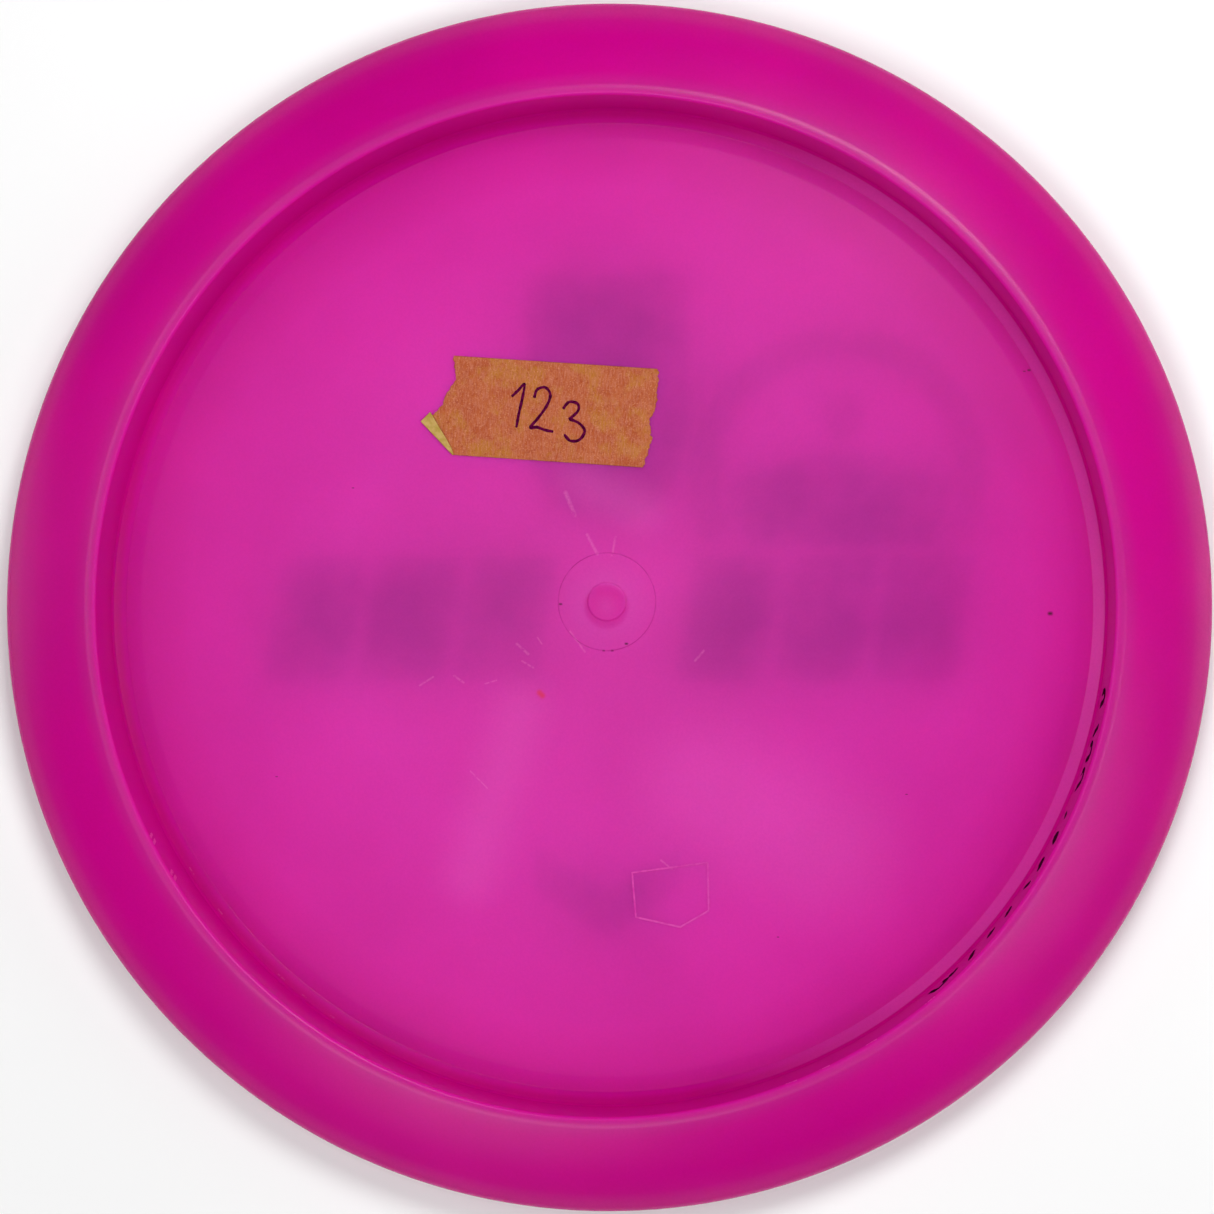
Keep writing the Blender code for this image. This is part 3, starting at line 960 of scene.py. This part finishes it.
# The number's strokes, as (along, across) points on the tape in millimetres.
NUMBER_STROKES = [
    [(-7.3, 2.2), (-6.2, 3.4), (-5.2, 4.5), (-5.4, 2.0), (-5.8, -0.6), (-6.1, -3.2)],
    [(-3.3, 2.2), (-2.9, 3.7), (-1.5, 4.2), (-0.5, 3.0), (-1.0, 1.0), (-2.4, -1.3), (-3.6, -3.0),
     (-2.4, -2.9), (-1.0, -3.3), (0.5, -3.5)],
    [(1.9, 0.6), (2.9, 1.9), (4.4, 1.7), (4.6, 0.5), (3.4, -0.9), (3.3, -1.1), (4.9, -1.7),
     (6.0, -3.0), (5.2, -4.6), (3.6, -4.9), (2.4, -3.8)],
]
NUMBER_PEN = 0.52 * MM

# The row of ticks on the wall, in degrees around the disc.
TICK_COUNT = 13
FIRST_TICK = -11.4
TICK_STEP = -3.2
TICK_PEN = 1.15 * MM


def label_number(ink):
    """A plain number written on the tape by hand with a felt pen."""
    paths = [spline([(u * MM, v * MM) for u, v in stroke], 0.12 * MM) for stroke in NUMBER_STROKES]
    surface = TAPE_REST + TAPE_THICKNESS + 0.005 * MM

    def place(u, v, lift):
        """From a place on the tape to the disc's frame, following the crepe."""
        return tape_place(u, v, surface + lift + crepe_height(u, v))

    mesh = stroke_strips(paths, NUMBER_PEN, place)
    add_piece("label_number", mesh, [ink])


def tick_paths():
    """Short slanting strokes, most of them with a hook, as (along the wall, height) points."""
    draws = random.Random(11)
    paths = []
    for number in range(TICK_COUNT):
        middle = math.radians(FIRST_TICK + TICK_STEP * number)
        arc_length = middle * WALL_FOOT_RADIUS
        lean = draws.uniform(0.6, 1.5) * draws.choice((-1, 1))
        low, high = draws.uniform(5.2, 6.4), draws.uniform(9.6, 11.8)
        foot = (arc_length - lean * MM, low * MM)
        head = (arc_length + lean * MM, high * MM)
        paths.append(spline([foot, head], 0.3 * MM))
        if number % 3 != 1:
            hook = draws.uniform(1.2, 2.4)
            turn = (head[0] + hook * MM, head[1] - 1.4 * MM)
            end = (head[0] + 0.5 * hook * MM, foot[1] + 0.8 * MM)
            paths.append(spline([head, turn, end], 0.3 * MM))
    return paths


def wall_place(run, height, lift):
    """From a place on the inner wall to the disc's frame."""
    angle = run / WALL_FOOT_RADIUS
    share = (height - BEVEL_TOP) / (HEIGHT - LIP_INNER_ROUND - BEVEL_TOP)
    radius = WALL_FOOT_RADIUS + (LIP_INNER_RADIUS - WALL_FOOT_RADIUS) * share - lift - 0.01 * MM
    return (radius * math.cos(angle), radius * math.sin(angle), height)


def wall_ticks(ink):
    """A row of short pen ticks on the inner wall, instead of handwriting."""
    mesh = stroke_strips(tick_paths(), TICK_PEN, wall_place)
    add_piece("wall_ticks", mesh, [ink])


# The moulded outline: its middle, its corners about that in millimetres, and the section of
# its raised line as (beside, above) in millimetres.
MARK_CENTRE = Vector((11.4 * MM, -50.4 * MM))
MARK_CORNERS = [(-6.9, 3.6), (6.4, 5.4), (6.6, -3.0), (1.6, -5.9), (-6.2, -4.2)]
MARK_SECTION = [(-0.22, -0.02), (-0.09, 0.03), (0.09, 0.03), (0.22, -0.02), (0.09, -0.05), (-0.09, -0.05)]
MARK_SPACING = 0.8 * MM


def outline_path():
    """Points along the moulded outline, about one spacing apart."""
    path = []
    for index, corner in enumerate(MARK_CORNERS):
        following = MARK_CORNERS[(index + 1) % len(MARK_CORNERS)]
        start, end = Vector(corner) * MM, Vector(following) * MM
        steps = max(4, round((end - start).length / MARK_SPACING))
        path += [start.lerp(end, step / steps) + MARK_CENTRE for step in range(steps)]
    return path


def mould_mark(material):
    """A plain raised five-sided outline moulded into the plate, with no text."""
    path = outline_path()
    count = len(path)
    vertices, faces = [], []
    for index, point in enumerate(path):
        ahead = path[(index + 1) % count] - path[index - 1]
        side = Vector((-ahead.y, ahead.x)).normalized()
        for out, lift in MARK_SECTION:
            spot = point + side * out * MM
            vertices.append((spot.x, spot.y, PLATE_TOP + lift * MM))
    size = len(MARK_SECTION)
    for index in range(count):
        following = (index + 1) % count
        for corner in range(size):
            after = (corner + 1) % size
            faces.append((index * size + corner, index * size + after,
                          following * size + after, following * size + corner))
    mesh = bpy.data.meshes.new("mould_mark")
    mesh.from_pydata(vertices, [], faces)
    mesh.update()
    mesh.shade_smooth()
    add_piece("mould_mark", mesh, [material])


# ---------------------------------------------------------------- stage

def studio_floor():
    """A large pale floor under the disc."""
    half = FLOOR_WIDTH / 2
    corners = [(-half, -half, 0), (half, -half, 0), (half, half, 0), (-half, half, 0)]
    mesh = bpy.data.meshes.new("studio_floor")
    mesh.from_pydata(corners, [], [(0, 1, 2, 3)])
    mesh.materials.append(floor_material())
    floor = bpy.data.objects.new("studio_floor", mesh)
    floor.location.z = -FLOOR_GAP
    bpy.context.scene.collection.objects.link(floor)


# The lights, as (name, azimuth and angle off the vertical in degrees, distance and size in
# metres, brightness).
STUDIO_LIGHTS = [
    ("key", 65.0, 27.0, 0.62, 0.26, 0.42),
    ("fill_front", 245.0, 27.0, 1.5, 0.80, 0.27),
    ("fill_right", 330.0, 27.0, 1.5, 0.70, 0.17),
    ("fill_left", 160.0, 27.0, 1.5, 0.70, 0.12),
    ("overhead", 160.0, 5.0, 1.4, 1.10, 0.03),
    ("low_left", 175.0, 62.0, 1.2, 0.40, 0.02),
    ("low_right", 5.0, 69.0, 1.4, 0.85, 0.06),
]


def direction(azimuth, from_vertical):
    """The unit vector towards an azimuth and an angle off the vertical, in degrees."""
    turn, lean = math.radians(azimuth), math.radians(from_vertical)
    return Vector((math.cos(turn) * math.sin(lean), math.sin(turn) * math.sin(lean), math.cos(lean)))


def soft_light(name, azimuth, from_vertical, distance, size, brightness):
    """A round area light aimed at the disc; brightness is what it adds to a white floor."""
    data = bpy.data.lights.new(name, "AREA")
    data.shape = "DISK"
    data.size = size
    data.energy = brightness * (math.pi * distance) ** 2 / math.cos(math.radians(from_vertical))
    light = bpy.data.objects.new(name, data)
    towards = direction(azimuth, from_vertical)
    light.location = towards * distance
    light.rotation_euler = towards.to_track_quat("Z", "Y").to_euler()
    bpy.context.scene.collection.objects.link(light)


# The sky's strength overhead and at the horizon, and the heights on a unit sphere between
# which it changes.
SKY_DARK = 0.01
SKY_PALE = 0.80
SKY_DARK_FROM = 0.26
SKY_PALE_UP_TO = 0.12


def studio_world():
    """A sky that is pale at the horizon and nearly black above, where gloss would show it."""
    world = bpy.data.worlds.new("studio")
    world.use_nodes = True
    tree = world.node_tree
    background = tree.nodes["Background"]
    background.inputs["Color"].default_value = (1.0, 1.0, 1.0, 1.0)
    place = tree.nodes.new("ShaderNodeTexCoord")
    split = tree.nodes.new("ShaderNodeSeparateXYZ")
    tree.links.new(place.outputs["Generated"], split.inputs[0])
    glow = soft_step(tree, split.outputs["Z"], SKY_DARK_FROM, SKY_PALE_UP_TO, SKY_DARK, SKY_PALE)
    tree.links.new(glow, background.inputs["Strength"])
    bpy.context.scene.world = world


def studio_light():
    """A key from the upper right, three fills, a dim overhead light and two low ones."""
    for light in STUDIO_LIGHTS:
        soft_light(*light)


def camera():
    """The camera looks almost straight down, at the height of the disc's nose."""
    data = bpy.data.cameras.new("camera")
    data.sensor_width = SENSOR_WIDTH
    data.lens = VIEW_DISTANCE * SENSOR_WIDTH / FRAME_WIDTH
    camera_object = bpy.data.objects.new("camera", data)
    back = direction(math.degrees(VIEW_AZIMUTH), math.degrees(VIEW_TILT))
    right = Vector((0.0, 1.0, 0.0)).cross(back).normalized()
    up = back.cross(right)
    turn = Matrix((right, up, back)).transposed().to_4x4()
    camera_object.matrix_world = Matrix.Translation(VIEW_TARGET + back * VIEW_DISTANCE) @ turn
    bpy.context.scene.collection.objects.link(camera_object)
    bpy.context.scene.camera = camera_object


def main():
    """Set the stage, make the pieces and give the foil its finish."""
    bpy.context.scene.view_settings.view_transform = "Standard"
    camera()
    studio_floor()
    studio_light()
    studio_world()
    disc_moulding(plastic_material())
    mould_mark(mark_highlight_material())
    tape_strip(paper_material(), adhesive_material())
    label_number(ink_material("label_ink", (0.115, 0.003, 0.045), (0.045, 0.001, 0.020)))
    wall_ticks(ink_material("wall_ink", (0.070, 0.001, 0.030), (0.015, 0.001, 0.010)))
    foil = foil_material()
    for name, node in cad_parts.items():
        if name.startswith("foil_"):
            for slot in node.material_slots:
                slot.material = foil


main()
